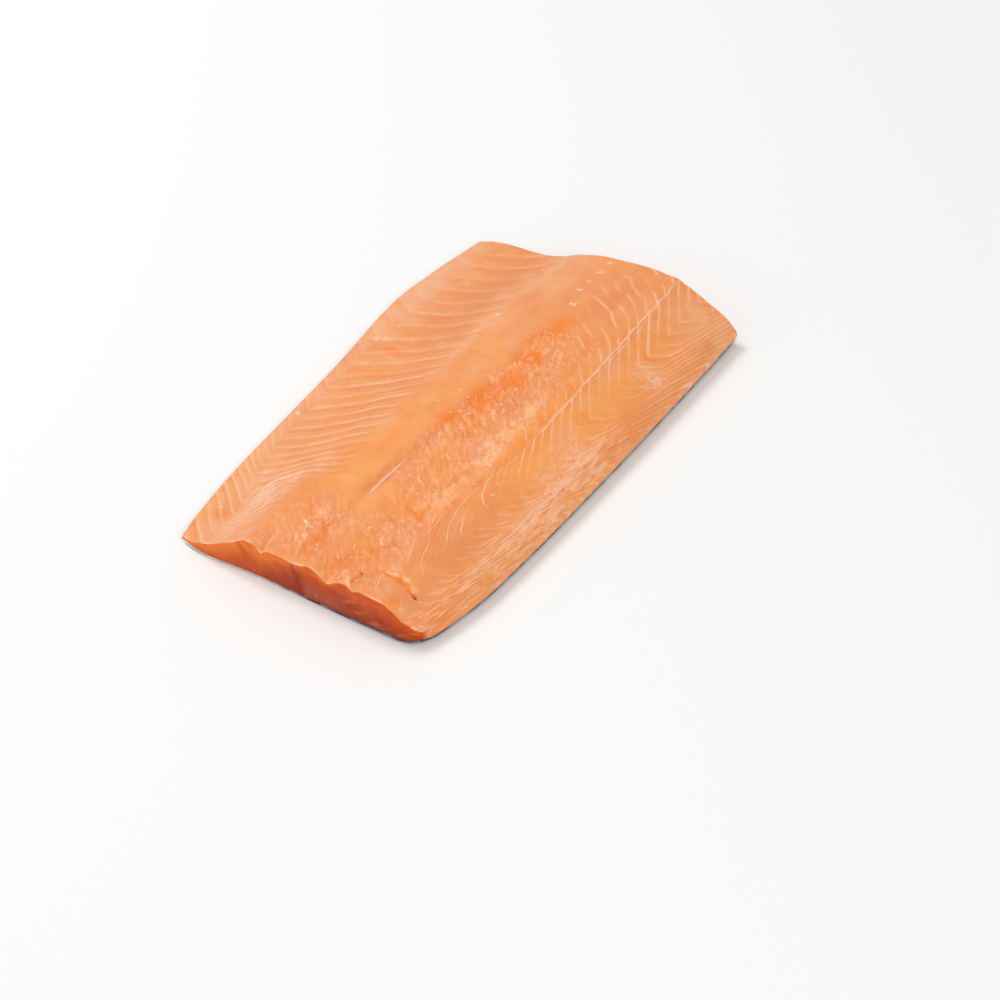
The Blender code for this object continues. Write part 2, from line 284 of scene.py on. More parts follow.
def noise(x, y, size, seed):
    """Smooth noise from -1 to 1, in lumps about size millimetres wide."""
    draw = np.random.default_rng(seed)
    lattice = draw.uniform(-1, 1, (LATTICE, LATTICE))
    turn = draw.uniform(0, 2 * np.pi)
    u = (x * np.cos(turn) - y * np.sin(turn)) / size
    v = (x * np.sin(turn) + y * np.cos(turn)) / size
    column = np.floor(u).astype(int)
    row = np.floor(v).astype(int)
    s = fade(u - column, 0, 1)
    t = fade(v - row, 0, 1)

    def corner(right, up):
        return lattice[(row + up) % LATTICE, (column + right) % LATTICE]

    near = corner(0, 0) * (1 - s) + corner(1, 0) * s
    far = corner(0, 1) * (1 - s) + corner(1, 1) * s
    return near * (1 - t) + far * t


def rough(x, y, size, seed):
    """Noise of three sizes, about -1 to 1."""
    coarse = 0.55 * noise(x, y, size, seed) + 0.3 * noise(x, y, size / 2, seed + 1)
    return coarse + 0.2 * noise(x, y, size / 4, seed + 2)


def plan(across, along):
    """x and y of a place given as shares."""
    left = curve(BELLY_EDGE, along)
    right = curve(BACK_EDGE, along)
    cut = curve(TAIL_CUT, across)
    return left + across * (right - left), cut + along * (LENGTH - cut)


def shares(x, y):
    """The shares of a place given as x and y."""
    along = y / LENGTH
    for _ in range(2):
        left = curve(BELLY_EDGE, along)
        across = np.clip((x - left) / (curve(BACK_EDGE, along) - left), 0, 1)
        cut = curve(TAIL_CUT, across)
        along = np.clip((y - cut) / (LENGTH - cut), 0, 1)
    return across, along


def curl(across, along):
    """How far the underside is lifted at the very edge of the piece."""
    x, y = plan(across, along)
    places = sum(
        height * hump(np.hypot(x - place_x, y - place_y), reach)
        for place_x, place_y, height, reach in LIFTED_PLACES
    )
    sides = BACK_CURL * fade(across, 1 - CURL_SHARE, 1) + BELLY_CURL * fade(across, CURL_SHARE, 0)
    return places + sides


# Families of fat lines. Each counts the lines passed at a place, so that a line lies at every
# whole number.


def belly_count(x, y):
    """Lines of the belly side: down from the edge to a bend, then up towards the middle."""
    past_bend = x - curve(FLAKE_BEND, y)
    inward = np.maximum(past_bend, 0)
    outward = np.maximum(-past_bend, 0)
    climb = curve(FLAKE_RISE, y) * inward + FLAKE_CURVE * inward**2
    climb += curve(FLAKE_OUTER_SLOPE, y) * outward
    climb += curve(FLAKE_SWEEP, y) * fade(x, FLAKE_SWEEP_FROM, FLAKE_SWEEP_TO)
    wander = 1.3 * noise(x, y, 26, 11) + 0.6 * noise(x, y, 9, 12)
    return curve(FLAKE_COUNT, y - climb + wander)


def back_bend(y):
    """x of the bend in the back side's lines."""
    pin_x = curve(PIN_LINE, y)
    return pin_x + BACK_BEND * (curve(BACK_EDGE, y / LENGTH) - pin_x)


def back_count(x, y):
    """Lines of the back side: down from the pin bones to a bend, then up to the back edge."""
    past_bend = x - back_bend(y)
    inward = np.maximum(-past_bend, 0)
    outward = np.maximum(past_bend, 0)
    steep = np.maximum(outward - BACK_EDGE_FROM, 0)
    climb = curve(BACK_SLOPE_IN, y) * inward + curve(BACK_STEEPEN_IN, y) * inward**2
    climb += curve(BACK_SLOPE_OUT, y) * outward
    climb += BACK_EDGE_SLOPE * steep**2 / (steep + BACK_EDGE_EASE)
    wander = 1.4 * noise(x, y, 22, 21) + 0.6 * noise(x, y, 8, 22)
    return curve(BACK_COUNT, y - climb + wander)


def middle_count(x, y):
    """Lines between the groove and the pin bones, which they meet at a steep angle."""
    left = np.maximum(curve(PIN_LINE, y) - x, 0)
    climb = MIDDLE_SLOPE * left + MIDDLE_DROP * (1 - np.exp(-left / MIDDLE_DROP_WIDTH))
    wander = 2.2 * noise(x, y, 20, 31) + 1.5 * noise(x, y, 6, 32)
    return (y - climb + wander) / MIDDLE_SPACING


def spacing(count, x, y):
    """Distance in millimetres between neighbouring lines of a family."""
    here = count(x, y)
    slope_x = (count(x + PROBE, y) - here) / PROBE
    slope_y = (count(x, y + PROBE) - here) / PROBE
    return 1 / np.maximum(np.hypot(slope_x, slope_y), 0.02)


def shingle(count, rise=0.72):
    """Height of overlapping flakes, -1 to 1: highest on the lines, steep on their tail side."""
    share = count % 1
    gentle = np.cos(np.pi * share / rise)
    return np.where(share < rise, gentle, -np.cos(np.pi * (share - rise) / (1 - rise)))


def places(x, y, spots):
    """Sum of soft patches, each given as x, y, half width, half length and strength."""
    return sum(
        strength * hump(x - spot_x, half_x) * hump(y - spot_y, half_y)
        for spot_x, spot_y, half_x, half_y, strength in spots
    )


def edge_streaks(x, y):
    """The streaky strip along the back edge, 0 to 1."""
    inward = curve(BACK_EDGE, y / LENGTH) - x + 2.5 * noise(x, y, 16, 97)
    strip = fade(inward, 15, 8) * fade(y, 185, 150) * (0.6 + 0.4 * fade(y, 60, 85))
    return np.clip(strip + places(x, y, STREAKY_SPOTS), 0, 1)


def combed(x, y, size, seed):
    """Noise in strokes that run towards the back and the tail."""
    turn = np.radians(STROKE_TURN)
    along = x * np.cos(turn) + y * np.sin(turn)
    return rough(0.4 * along, y * np.cos(turn) - x * np.sin(turn), size, seed)


def fibrous(x, y):
    """The frayed band along the groove, 0 to 1."""
    off = x - curve(MIDLINE, y) + 3.5 * noise(x, y, 11, 94)
    head_end = fade(y + 9 * noise(x, y, 13, 95), 230, 196)
    return fade(off, -8, -1) * fade(off, 18, 6) * fade(y, 60, 110) * head_end


def feathery(x, y):
    """The lightly torn field between that band and the pin bones, 0 to 1."""
    left = curve(MIDLINE, y) + 6
    right = curve(PIN_LINE, y) - 2
    return fade(x, left, left + 8) * fade(x, right, right - 6) * fade(y, 42, 72) * fade(y, 225, 200)


def creamy(x, y):
    """The lumpy strip beside the pin bones, 0 to 1."""
    off = x - curve(PIN_LINE, y) + 2.5 * noise(x, y, 9, 96)
    return fade(off, -18, -10) * fade(off, -3, -7) * fade(y, 48, 70) * fade(y, 182, 150)


def ragged_ends(x, y):
    """Torn places near the tail cut, 0 to 1."""
    strip = fade(x, 28, 42) * fade(x, 116, 102) * fade(y, 62, 40) * fade(y, 1, 7)
    return places(x, y, RAGGED_SPOTS) + 0.4 * strip


def torn_zone(x, y):
    """Where the middle is scraped and ragged, 0 to 1."""
    return np.clip(fibrous(x, y) + 0.5 * feathery(x, y) + 0.4 * creamy(x, y) + ragged_ends(x, y), 0, 1)


def lumps(x, y):
    """Small torn crests of the scraped flesh, 0 to 1."""
    return torn_zone(x, y) * fade(combed(x, y, 3.2, 41), 0.12, 0.55)


def hollows(x, y):
    """Small hollows of the scraped flesh, 0 to 1."""
    return torn_zone(x, y) * fade(combed(x, y, 5.0, 51), 0.1, 0.55)


def line_strengths(x, y):
    """How plainly each family of lines shows, 0 to 1: belly, middle and back."""
    middle = curve(MIDLINE, y)
    pin_x = curve(PIN_LINE, y)
    belly_x = curve(FLAKE_BEND, y)
    back_x = back_bend(y)
    belly = fade(x, 50, 36) * (0.75 + 0.25 * fade(y, 230, 150))
    belly = belly * (1 - 0.3 * fade(x, belly_x, belly_x - 5) * fade(y, 70, 110))
    belly = belly * (1 - fade(x, 29, 36) * fade(y, 66, 52)) * (1 - 0.5 * hump(x - belly_x, 3.5))
    between = fade(x, middle + 4, middle + 14) * fade(x, pin_x + 0.5, pin_x - 1)
    feather = between * (0.25 + 0.75 * fade(y, 180, 212))
    inner = 0.2 + 0.16 * fade(y, 84, 112) + 0.64 * fade(y, 190, 228)
    outer = 0.5 * fade(x, back_x, back_x + 5) * fade(y, 120, 90)
    outer = outer + 0.1 * fade(x, back_x, back_x + 4) * fade(y, 90, 120)
    edge = 0.3 * fade(x, 134, 141) * (fade(y, 180, 140) + 0.4 * fade(y, 235, 255))
    open_bend = 1 - 0.9 * hump(x - back_x, 5) * fade(y, 125, 95)
    back = fade(x, pin_x - 1, pin_x + 1) * np.clip(inner + outer + edge, 0, 1) * open_bend
    return belly, feather, back


def line_distance(x, y, points):
    """Distance to a line through a few points, measured in the complex plane."""
    nearest = np.inf
    for start, end in zip(points, points[1:]):
        off = x + 1j * y - complex(*start)
        run = complex(*end) - complex(*start)
        share = np.clip((off * run.conjugate()).real / abs(run) ** 2, 0, 1)
        nearest = np.minimum(nearest, np.abs(off - share * run))
    return nearest


def folds(x, y, lines, measure):
    """Sum of the humps over some lines; measure 0 counts each as 1, and 1 as its height."""
    ragged_x = x + 1.5 * noise(x, y, 3.2, 91)
    ragged_y = y + 1.5 * noise(x, y, 3.2, 92)
    return (0.7 + 0.6 * noise(x, y, 3.4, 93)) * sum(
        hump(line_distance(ragged_x, ragged_y, points), width) * height**measure
        for points, width, height in lines
    )


def hole(x, y):
    """The small dark hole near the tail cut, 0 to 1."""
    off_x = x - HOLE_X
    return hump(np.hypot(off_x, 1.9 * (y - HOLE_Y + 0.3 * off_x)), HOLE_WIDTH)


def torn_lip(x):
    """How far the lip hangs out over the tail cut."""
    return LIP_REACH * hump(x - LIP_X, LIP_WIDTH)


def top_height(across, along):
    """Height of the top, with its fine relief."""
    x, y = plan(across, along)
    smooth = (1 - along) * curve(TAIL_PROFILE, across) + along * curve(HEAD_PROFILE, across)
    middle = curve(MIDLINE, y)
    pin_x = curve(PIN_LINE, y)
    trough = fade(x, middle, middle + TROUGH_FLANK) * fade(x, pin_x, pin_x - TROUGH_FLANK)
    settled = fade(y, 1, 15)
    flap = fade(x, FLAP_FROM, FLAP_FROM + 9) * fade(x, FLAP_TO, FLAP_TO - 18) * fade(y, FLAP_LENGTH, 1)
    nicks = sum(height * hump(x - place, width) for place, height, width in CUT_NICKS)
    belly, feather, back = line_strengths(x, y)
    relief = (
        FLAKE_HEIGHT * shingle(belly_count(x, y)) * belly * fade(y, 25, 60)
        + BACK_FLAKE_HEIGHT * shingle(back_count(x, y)) * back
        + MIDDLE_FLAKE_HEIGHT * shingle(middle_count(x, y)) * feather
        - curve(GROOVE_DEPTH, y) * hump(x - middle, GROOVE_WIDTH) * settled
        + PIN_RIDGE * hump(x - pin_x, PIN_RIDGE_WIDTH) * (1 + 0.3 * noise(x, y, 6, 61))
        - TROUGH_DEPTH * trough * (0.6 + 0.25 * noise(x, y, 12, 62)) * settled
        + FLAP_HEIGHT * flap
        + (nicks + 0.5 * rough(x, 0 * y, 6, 64)) * hump(y, NICK_REACH)
        + folds(x, y, LIPS, 1)
        - folds(x, y, CRACKS, 1)
        - HOLE_DEPTH * hole(x, y)
        + 0.45 * lumps(x, y)
        - 0.4 * hollows(x, y)
        + 0.1 * rough(x, y, 9, 63)
    )
    inside = fade(across, 0, 0.04) * fade(across, 1, 0.96)
    lowest = FLESH_BOTTOM + THINNEST_FLESH + curl(across, along)
    return np.maximum(smooth + relief * inside, lowest)


def surface_height(x, y):
    """Height of the top at x and y."""
    return top_height(*shares(x, y))


def wall_point(across, along, level, outward):
    """A point of the flesh's outer wall, from its bottom edge at level 0 to the top at level 1."""
    x, y = plan(across, along)
    bottom = SKIN_THICKNESS - FLESH_SINK + curl(across, along)
    z = bottom + level * (top_height(across, along) - bottom)
    swell = 4 * level * (1 - level)
    flakes = np.cos(2 * np.pi * (x + CUT_FLAKE_SLANT * z) / CUT_FLAKE_SPACING)
    ragged = 0.22 * rough(x + 0.7 * z, 2 * z, 4, 71) * fade(level, 1, 0.85)
    lip = torn_lip(x) * fade(level, 0.66, 0.95)
    x = x + outward[0] * SIDE_SWELL * swell
    reach = (CUT_SWELL + CUT_FLAKE_DEPTH * flakes) * swell + ragged
    return x, y + outward[1] * reach - (outward[1] < 0) * lip, z


def underside_point(across, along, inset, height):
    """A point of a surface that runs parallel to the underside, inset from the edge."""
    share_x = inset / (curve(BACK_EDGE, along) - curve(BELLY_EDGE, along))
    share_y = inset / LENGTH
    x, y = plan(share_x + across * (1 - 2 * share_x), share_y + along * (1 - 2 * share_y))
    return x, y, height + curl(across, along) * (1 - inset / RIM_WIDTH) ** 2


# Meshes


def put(x, y, z):
    """Points of the frame, in metres, from millimetres in plan."""
    return np.stack([x - CENTRE_X, y - CENTRE_Y, z + 0 * x], -1) * MILLIMETRE


class Shell:
    """A closed mesh that grows from a grid, ring by ring round its border."""

    def __init__(self, columns, rows, draw):
        across = np.linspace(0, 1, columns + 1)
        along = np.linspace(0, 1, rows + 1) ** draw
        self.across, self.along = np.meshgrid(across, along)
        index = np.arange(self.across.size).reshape(self.across.shape)
        self.border = np.concatenate([index[0, :-1], index[:-1, -1], index[-1, :0:-1], index[:0:-1, 0]])
        self.ring = self.border
        corners = index[:-1, :-1], index[:-1, 1:], index[1:, 1:], index[1:, :-1]
        self.faces = [np.stack(corners, -1).reshape(-1, 4)]
        self.points = []
        self.levels = []
        self.size = 0

    def outward(self):
        """Which way each border point faces, along x and along y."""
        across, along = self.shares_round()
        return (across == 1) * 1.0 - (across == 0), (along == 1) * 1.0 - (along == 0)

    def shares_round(self):
        """The shares of the border points."""
        return self.across.ravel()[self.border], self.along.ravel()[self.border]

    def add_points(self, level, x, y, z):
        self.points.append(np.stack([x, y, z], -1).reshape(-1, 3))
        self.levels.append(np.full(x.size, float(level)))
        self.size += x.size

    def add_ring(self, level, x, y, z):
        """Joins a new ring of points to the last one."""
        ring = self.size + np.arange(len(self.border))
        self.add_points(level, x, y, z)
        self.faces.append(np.stack([self.ring, ring, np.roll(ring, -1), np.roll(self.ring, -1)], -1))
        self.ring = ring

    def make(self, name, flip=False):
        """The object, closed by one face over the last ring, and its points' places and levels."""
        points = np.concatenate(self.points)
        faces = np.concatenate(self.faces).tolist() + [self.ring[::-1].tolist()]
        if flip:
            faces = [face[::-1] for face in faces]
        return mesh_object(name, points, faces), *points.T, np.concatenate(self.levels)


def mesh_object(name, points, faces):
    """An object of a mesh, smooth up to the sharp angle."""
    mesh = bpy.data.meshes.new(name)
    mesh.from_pydata(put(*points.T), [], faces)
    mesh.shade_smooth()
    mesh.set_sharp_from_angle(angle=np.radians(SHARP_ANGLE))
    return link(name, mesh)


def link(name, data):
    """A new object in the scene."""
    made = bpy.data.objects.new(name, data)
    bpy.context.scene.collection.objects.link(made)
    return made


def store(piece, name, *values):
    """Keeps three values at each vertex, for the material."""
    data = np.stack([np.broadcast_to(value, len(piece.data.vertices)) for value in values], -1)
    kept = piece.data.attributes.new(name, "FLOAT_VECTOR", "POINT")
    kept.data.foreach_set("vector", data.astype(np.float32).ravel())


def flesh_piece():
    """The flesh, with the values that its material reads."""
    shell = Shell(TOP_COLUMNS, TOP_ROWS, ROW_DRAW)
    x, y = plan(shell.across, shell.along)
    ragged = CUT_RAGGED * rough(x, 0 * y, 5, 73) * hump(y, 3.5) - torn_lip(x) * hump(y, 2)
    shell.add_points(1, x, y + ragged, top_height(shell.across, shell.along))
    across, along = shell.shares_round()
    outward = shell.outward()
    for level in WALL_LEVELS:
        shell.add_ring(level, *wall_point(across, along, level, outward))
    for step in range(1, RIM_STEPS):
        inset = RIM_WIDTH * step / RIM_STEPS
        shell.add_ring(0, *underside_point(across, along, inset, SKIN_THICKNESS - FLESH_SINK))
    piece, x, y, _, level = shell.make("flesh_loin")
    on_wall = np.arange(len(level)) >= shell.across.size
    facing = len(WALL_LEVELS) * [np.abs(outward[1])] + (RIM_STEPS - 1) * [0 * across]
    facing = np.concatenate([np.zeros(shell.across.size), *facing])
    on_cut = np.maximum(facing, on_wall * fade(y, 8, 3))
    store_lines(piece, x, y)
    store_tones(piece, x, y, on_wall)
    blood, pink = cut_marks(x, y, level)
    # Third value: the blood line on the walls and, on the top, the small hole, which takes painted
    # shade.
    store(piece, "wall", on_cut, level, np.where(on_wall, blood, hole(x, y)))
    store(piece, "cut", pink, seam(x, y, level) * on_wall, x / CUT_WIDTH)
    return piece


def store_lines(piece, x, y):
    """Keeps the count, gap and strength of each family of fat lines."""
    belly, feather, back = line_strengths(x, y)
    fine = 0.8 * fade(x, 50, 40) * fade(x, 22, 32) * fade(y, 190, 160) * fade(y, 88, 104)
    number = belly_count(x, y)
    gap = spacing(belly_count, x, y)
    store(piece, "belly", number, gap, belly)
    store(piece, "fine", 2 * number, gap / 2, fine)
    store(piece, "middle", middle_count(x, y), spacing(middle_count, x, y), feather)
    store(piece, "back", back_count(x, y), spacing(back_count, x, y), back)


def store_tones(piece, x, y, on_wall):
    """Keeps the patches, fields and torn places of the top."""
    orange = 1.4 * places(x, y, ORANGE_SPOTS) * (1 + 0.7 * combed(x, y, 4, 81))
    # Hollows and cracks of the torn flesh take the vivid orange too, partly as painted shade inside
    # them.
    orange += 0.3 * hollows(x, y) + 0.5 * folds(x, y, CRACKS, 0)
    red = places(x, y, RED_SPOTS) * (0.7 + 0.7 * noise(x, y, 5, 82))
    store(piece, "tint", *np.clip([orange, places(x, y, PALE_SPOTS), red], 0, 1))
    fields = [places(x, y, spots) for spots in (PALE_AND_SHEEN_FIELDS, DUSKY_AND_SHADE_FIELDS, SUNNY_FIELDS)]
    store(piece, "field", *np.clip(fields, 0, 1))
    store(piece, "torn", lumps(x, y), torn_zone(x, y), creamy(x, y))
    from_cut = y - curve(TAIL_CUT, (x - BELLY_EDGE[0][1]) / TAIL_WIDTH)
    rim = fade(from_cut, 1.6, 0.2) * fade(noise(x, y, 3.5, 98), 0.0, 0.6)
    cream = np.clip((folds(x, y, LIPS, 0) + rim) * ~on_wall, 0, 1)
    store(piece, "guide", x - thread_x(y), cream, fade(y, 132, 150))
    from_edge = x - curve(BACK_EDGE, y / LENGTH)
    streaky = edge_streaks(x, y) * ~on_wall
    store(piece, "edge", from_edge * MILLIMETRE, y * MILLIMETRE, streaky)


def seam_place(y, level):
    """x of the seam that divides the upper from the lower half of each cut."""
    return np.where(y < LENGTH / 2, 65.8 + 5.0 * (1 - level), 78 + 8 * (1 - level))


def seam(x, y, level):
    """The thin whitish seam of the cuts, 0 to 1."""
    return hump(x - seam_place(y, level) - 0.8, 0.5) * fade(level, 0.45, 0.7)


def cut_marks(x, y, level):
    """The dark line in the two cuts and the pinker flakes beside it, 0 to 1."""
    line_x = seam_place(y, level)
    blood = (1.1 + 0.4 * noise(x, 30 * level, 3, 99)) * hump(x - line_x, 1.6 + 1.5 * (1 - level))
    low = fade(x, line_x, line_x + 6) * fade(x, line_x + 40, line_x + 26) * fade(level, 0.2, 0.06)
    pink = fade(x, line_x, line_x + 4) * fade(x, line_x + 34, line_x + 16) * fade(level, 0.65, 0.25)
    return np.maximum(blood * fade(level, 1.0, 0.85), 0.6 * low), pink


class Bundle:
    """A mesh of many small bodies that lie half sunk in the flesh: strands and crumbs."""

    def __init__(self):
        self.points = []
        self.faces = []
        self.shades = []
        self.size = 0

    def add(self, points, faces, shade):
        """Adds one closed body; shade is its own place between two colours."""
        self.points.append(points)
        self.faces += (faces + self.size).tolist()
        self.shades.append(np.full(len(points), shade))
        self.size += len(points)

    def strand(self, x, y, radius, shade, lift):
        """A tapered tube along a path in plan, with one radius a point."""
        path = np.stack([x, y, surface_height(x, y) + lift * radius], -1)
        ahead = np.gradient(path, axis=0)
        ahead /= np.linalg.norm(ahead, axis=1)[:, None]
        side = np.cross(ahead, (0, 0, 1))
        side /= np.linalg.norm(side, axis=1)[:, None]
        up = STRAND_FLATNESS * np.cross(side, ahead)
        turn = np.linspace(0, 2 * np.pi, STRAND_SIDES, endpoint=False)[:, None]
        spread = np.cos(turn) * side[:, None] + np.sin(turn) * up[:, None]
        rings = path[:, None] + radius[:, None, None] * spread
        index = np.arange(rings.shape[0] * STRAND_SIDES).reshape(-1, STRAND_SIDES)
        after = np.roll(index, -1, 1)
        sides = np.stack([index[:-1], index[1:], after[1:], after[:-1]], -1).reshape(-1, 4)
        self.add(rings.reshape(-1, 3), sides, shade)
        first = self.size - index.size
        self.faces += [(first + index[0]).tolist(), (first + index[-1, ::-1]).tolist()]

    def crumb(self, x, y, sizes, turn, shade, draw, sink):
        """A small uneven lump, with its half length, half width and half height."""
        lump = CRUMB_BALL * draw.uniform(0.72, 1.15, (len(CRUMB_BALL), 1)) * sizes
        turned_x = lump[:, 0] * np.cos(turn) - lump[:, 1] * np.sin(turn)
        turned_y = lump[:, 0] * np.sin(turn) + lump[:, 1] * np.cos(turn)
        z = surface_height(x, y) + lump[:, 2] + (1 - 2 * sink) * sizes[2]
        self.add(np.stack([x + turned_x, y + turned_y, z], -1), CRUMB_FACES, shade)

    def make(self, name):
        piece = mesh_object(name, np.concatenate(self.points), self.faces)
        store(piece, "own", np.concatenate(self.shades), 0.0, 0.0)
        return piece


def ball():
    """Points and faces of a unit ball of triangles."""
    mesh = bmesh.new()
    bmesh.ops.create_icosphere(mesh, subdivisions=CRUMB_SUBDIVISIONS, radius=1.0)
    points = np.array([vertex.co[:] for vertex in mesh.verts])
    faces = np.array([[vertex.index for vertex in face.verts] for face in mesh.faces])
    mesh.free()
    return points, faces


CRUMB_BALL, CRUMB_FACES = ball()


def taper(count, blunt=0.5):
    """A share for each point of a strand: full in its middle and thin at both ends."""
    share = np.linspace(-1, 1, count)
    return 0.15 + 0.85 * (1 - np.abs(share) ** (2 / blunt))


def scattered(draw, amount, low, high, wanted):
    """Places between two corners, each kept as often as wanted(x, y) says."""
    made = 0
    while made < amount:
        x = draw.uniform(low[0], high[0])
        y = draw.uniform(low[1], high[1])
        if draw.uniform(0, 1) <= wanted(x, y):
            yield x, y
            made += 1


# Search for a line's y: its steps, the least slope that it trusts and its longest step.
LINE_SEARCH_STEPS = 8
SHALLOWEST_COUNT = 0.03
LONGEST_STEP = 8


def on_line(count, number, x, y):
    """y of a fat line at each x, found from a first guess by steps down its slope."""
    y = np.full(np.shape(x), float(y))
    for _ in range(LINE_SEARCH_STEPS):
        here = count(x, y)
        slope = np.maximum((count(x, y + PROBE) - here) / PROBE, SHALLOWEST_COUNT)
        y = y + np.clip((number - here) / slope, -LONGEST_STEP, LONGEST_STEP)
    return y


# x of the pale thread along the pin bones, by y; the strands that make it: first and last y, offset,
# radius and seed; and the lines that leave it: family, way, reach and lowest y.
PIN_THREAD = (
    (40, 109.5), (70, 108.5), (88, 111.5), (105, 114.8), (120, 116.2), (144, 117),
    (200, 117.2), (278, 117.6),
)
PIN_STRANDS = ((138, 273, 0, 0.56, 101), (186, 262, 1.7, 0.24, 103), (44, 132, 0, 0.13, 105))
PIN_BRANCHES = ((back_count, 1, 9, 120), (middle_count, -1, 7, 132))
PIN_STUBS = 24
STUB_POINTS = 9


def thread_x(y):
    """x of the pale thread that lies along the pin bones."""
    return curve(PIN_THREAD, y)


def pin_strands(bundle, draw):
    """The strands along the pin bones and the stubs that leave them."""
    for first, last, offset, radius, seed in PIN_STRANDS:
        y = np.arange(first, last, 1.0)
        wander = 0.6 * noise(0 * y, y, 8, seed) + 0.45 * noise(0 * y, y, 3.1, seed + 1)
        ends = np.minimum(1, 0.2 + np.minimum(y - first, last - y) / 9)
        uneven = 1 + 0.8 * noise(0 * y, y, 3.5, seed + 2)
        bundle.strand(thread_x(y) + offset + wander, y, radius * ends * uneven, 0.5, -0.2)
    for family, way, reach, lowest in PIN_BRANCHES:
        first = int(np.ceil(family(thread_x(lowest), lowest)))
        for number in range(first, first + PIN_STUBS):
            start = on_line(family, number, thread_x(lowest), lowest)
            start = on_line(family, number, thread_x(start), start)
            if start > LENGTH - 8:
                break
            length = draw.uniform(0.5, 1.0) * reach
            x = thread_x(start) + way * np.linspace(0.2, length, STUB_POINTS)
            y = on_line(family, number, x, start) + 0.5 * noise(x, 0 * x + start, 2.2, 106)
            inside = y < LENGTH - 3
            if inside.sum() > 3:
                radius = draw.uniform(0.22, 0.42) * np.linspace(1, 0.25, STUB_POINTS)
                bundle.strand(x[inside], y[inside], radius[inside], draw.uniform(0.3, 0.6), -0.1)


TORN_STRANDS = 95


def thread_wanted(x, y):
    """How often a frayed thread starts at a place."""
    wanted = 0.9 * fibrous(x, y) + 0.3 * feathery(x, y) + 0.5 * creamy(x, y) + 0.35 * ragged_ends(x, y)
    return wanted * (1 - 0.85 * np.clip(places(x, y, ORANGE_SPOTS), 0, 1))


def torn_strands(bundle, draw):
    """Frayed threads of the scraped middle, thickest along its left side."""
    for x, y in scattered(draw, TORN_STRANDS, (50, 8), (116, 226), thread_wanted):
        steps = draw.integers(5, 10)
        heading = np.radians(draw.normal(STROKE_TURN, 24))
        heading = heading + np.cumsum(np.radians(draw.normal(0, 14, steps)))
        stride = draw.uniform(0.35, 0.8)
        path_x = x + np.cumsum(stride * np.cos(heading))
        path_y = y + np.cumsum(stride * np.sin(heading))
        radius = draw.uniform(0.25, 0.6) * taper(steps)
        bundle.strand(path_x, path_y, radius, draw.uniform(0.0, 0.5), -0.25)


# Whitish patches: x, y, their spreads, heading in degrees and number of threads.
EDGE_PATCHES = (
    (142, 118, 2.6, 24, 84, 34), (134, 138, 3, 9, 68, 8), (144, 60, 1.6, 22, 80, 14),
    (138, 212, 5, 4, 34, 30), (43, 186, 2.6, 18, 45, 12), (24, 36, 3, 7, 92, 12),
)
PATCH_POINTS = 8


def edge_strands(bundle, draw):
    """Fine threads in the whitish patches."""
    for centre_x, centre_y, spread_x, spread_y, heading, amount in EDGE_PATCHES:
        for _ in range(amount):
            turn = np.radians(heading + draw.normal(0, 12))
            along = np.linspace(-0.5, 0.5, PATCH_POINTS) * draw.uniform(2.5, 7)
            x = centre_x + draw.normal(0, spread_x) + along * np.cos(turn)
            y = centre_y + draw.normal(0, spread_y) + along * np.sin(turn)
            x = x + 0.5 * noise(x, y, 2.5, 115)
            radius = draw.uniform(0.16, 0.34) * taper(PATCH_POINTS)
            bundle.strand(x, y, radius, draw.uniform(0.2, 0.8), -0.15)


SCAR_FROM = 60
SCAR_TO = 89
SCAR_POINTS = 26


def scar(bundle):
    """The whitish strand that lies in the groove near the tail."""
    y = np.linspace(SCAR_FROM, SCAR_TO, SCAR_POINTS)
    x = 68.6 + 0.5 * noise(0 * y, y, 8, 111) + 0.05 * (y - SCAR_FROM)
    widest = 0.5 + 0.9 * hump(y - 64.5, 3.0)
    uneven = 0.8 + 0.5 * noise(0 * y, y, 5, 112)
    bundle.strand(x, y, widest * taper(SCAR_POINTS, 0.4) * uneven, 0.85, -0.1)


# Thin pale threads of the back side, as points of each: steep ones beside the pin bones and slanted
# ones that rise to the back edge.
THREADS = (
    ((112, 104), (114.5, 93), (118, 86), (124, 82.5)),
    ((112.5, 93), (111.5, 79), (113.7, 63), (120.6, 50)), ((114.4, 75), (118.7, 66.5), (122.5, 60)),
    ((107.5, 55), (112.5, 46.5), (115, 38), (120.6, 30)),
    ((102.5, 52.7), (107.5, 39), (112.5, 27.7)), ((105, 16.4), (107.6, 11), (111, 4.3)),
    ((102.5, 13.8), (104.3, 7.5), (106, 2.3)),
    ((123, 11.5), (132, 17.7), (137.5, 29), (141, 41.5), (145, 56.5)),
    ((128, 35), (137, 45), (141.5, 55), (144.5, 67)), ((123.7, 66.5), (133, 77), (141, 88)),
    ((125, 22), (133, 29.5), (139, 41), (142.5, 52)), ((129, 53), (136, 61), (141, 71), (145, 84)),
    ((127, 82), (135, 91), (142, 104)),
)

# Whitish strands where the belly side's lines close up near the tail, and their radius.
BELLY_THREADS = (
    (((18.4, 36), (17.8, 44), (20, 49.5), (25, 55), (31, 60)), 0.6),
    (((23.7, 35), (24.2, 43), (26, 49), (31.5, 54.5)), 0.42),
    (((27, 30), (28.4, 40), (31, 47)), 0.35), (((13.6, 46), (14.4, 37), (12.6, 31)), 0.35),
)


def thread(bundle, points, radius, uneven, seeds, shade, lift):
    """A strand along a smooth line through a few points, with a point to about each millimetre."""
    steps = np.hypot(*np.diff(np.array(points, float), axis=0).T)
    run = np.concatenate([[0], np.cumsum(steps)])
    at = np.linspace(0, run[-1], max(8, int(run[-1])))
    x, y = (curve(list(zip(run, values)), at) for values in zip(*points))
    x = x + uneven * noise(x, y, 4, seeds[0])
    radius = radius * taper(len(x)) * (1 + uneven * noise(x, y, 3, seeds[1]))
    bundle.strand(x, y, radius, shade, lift)


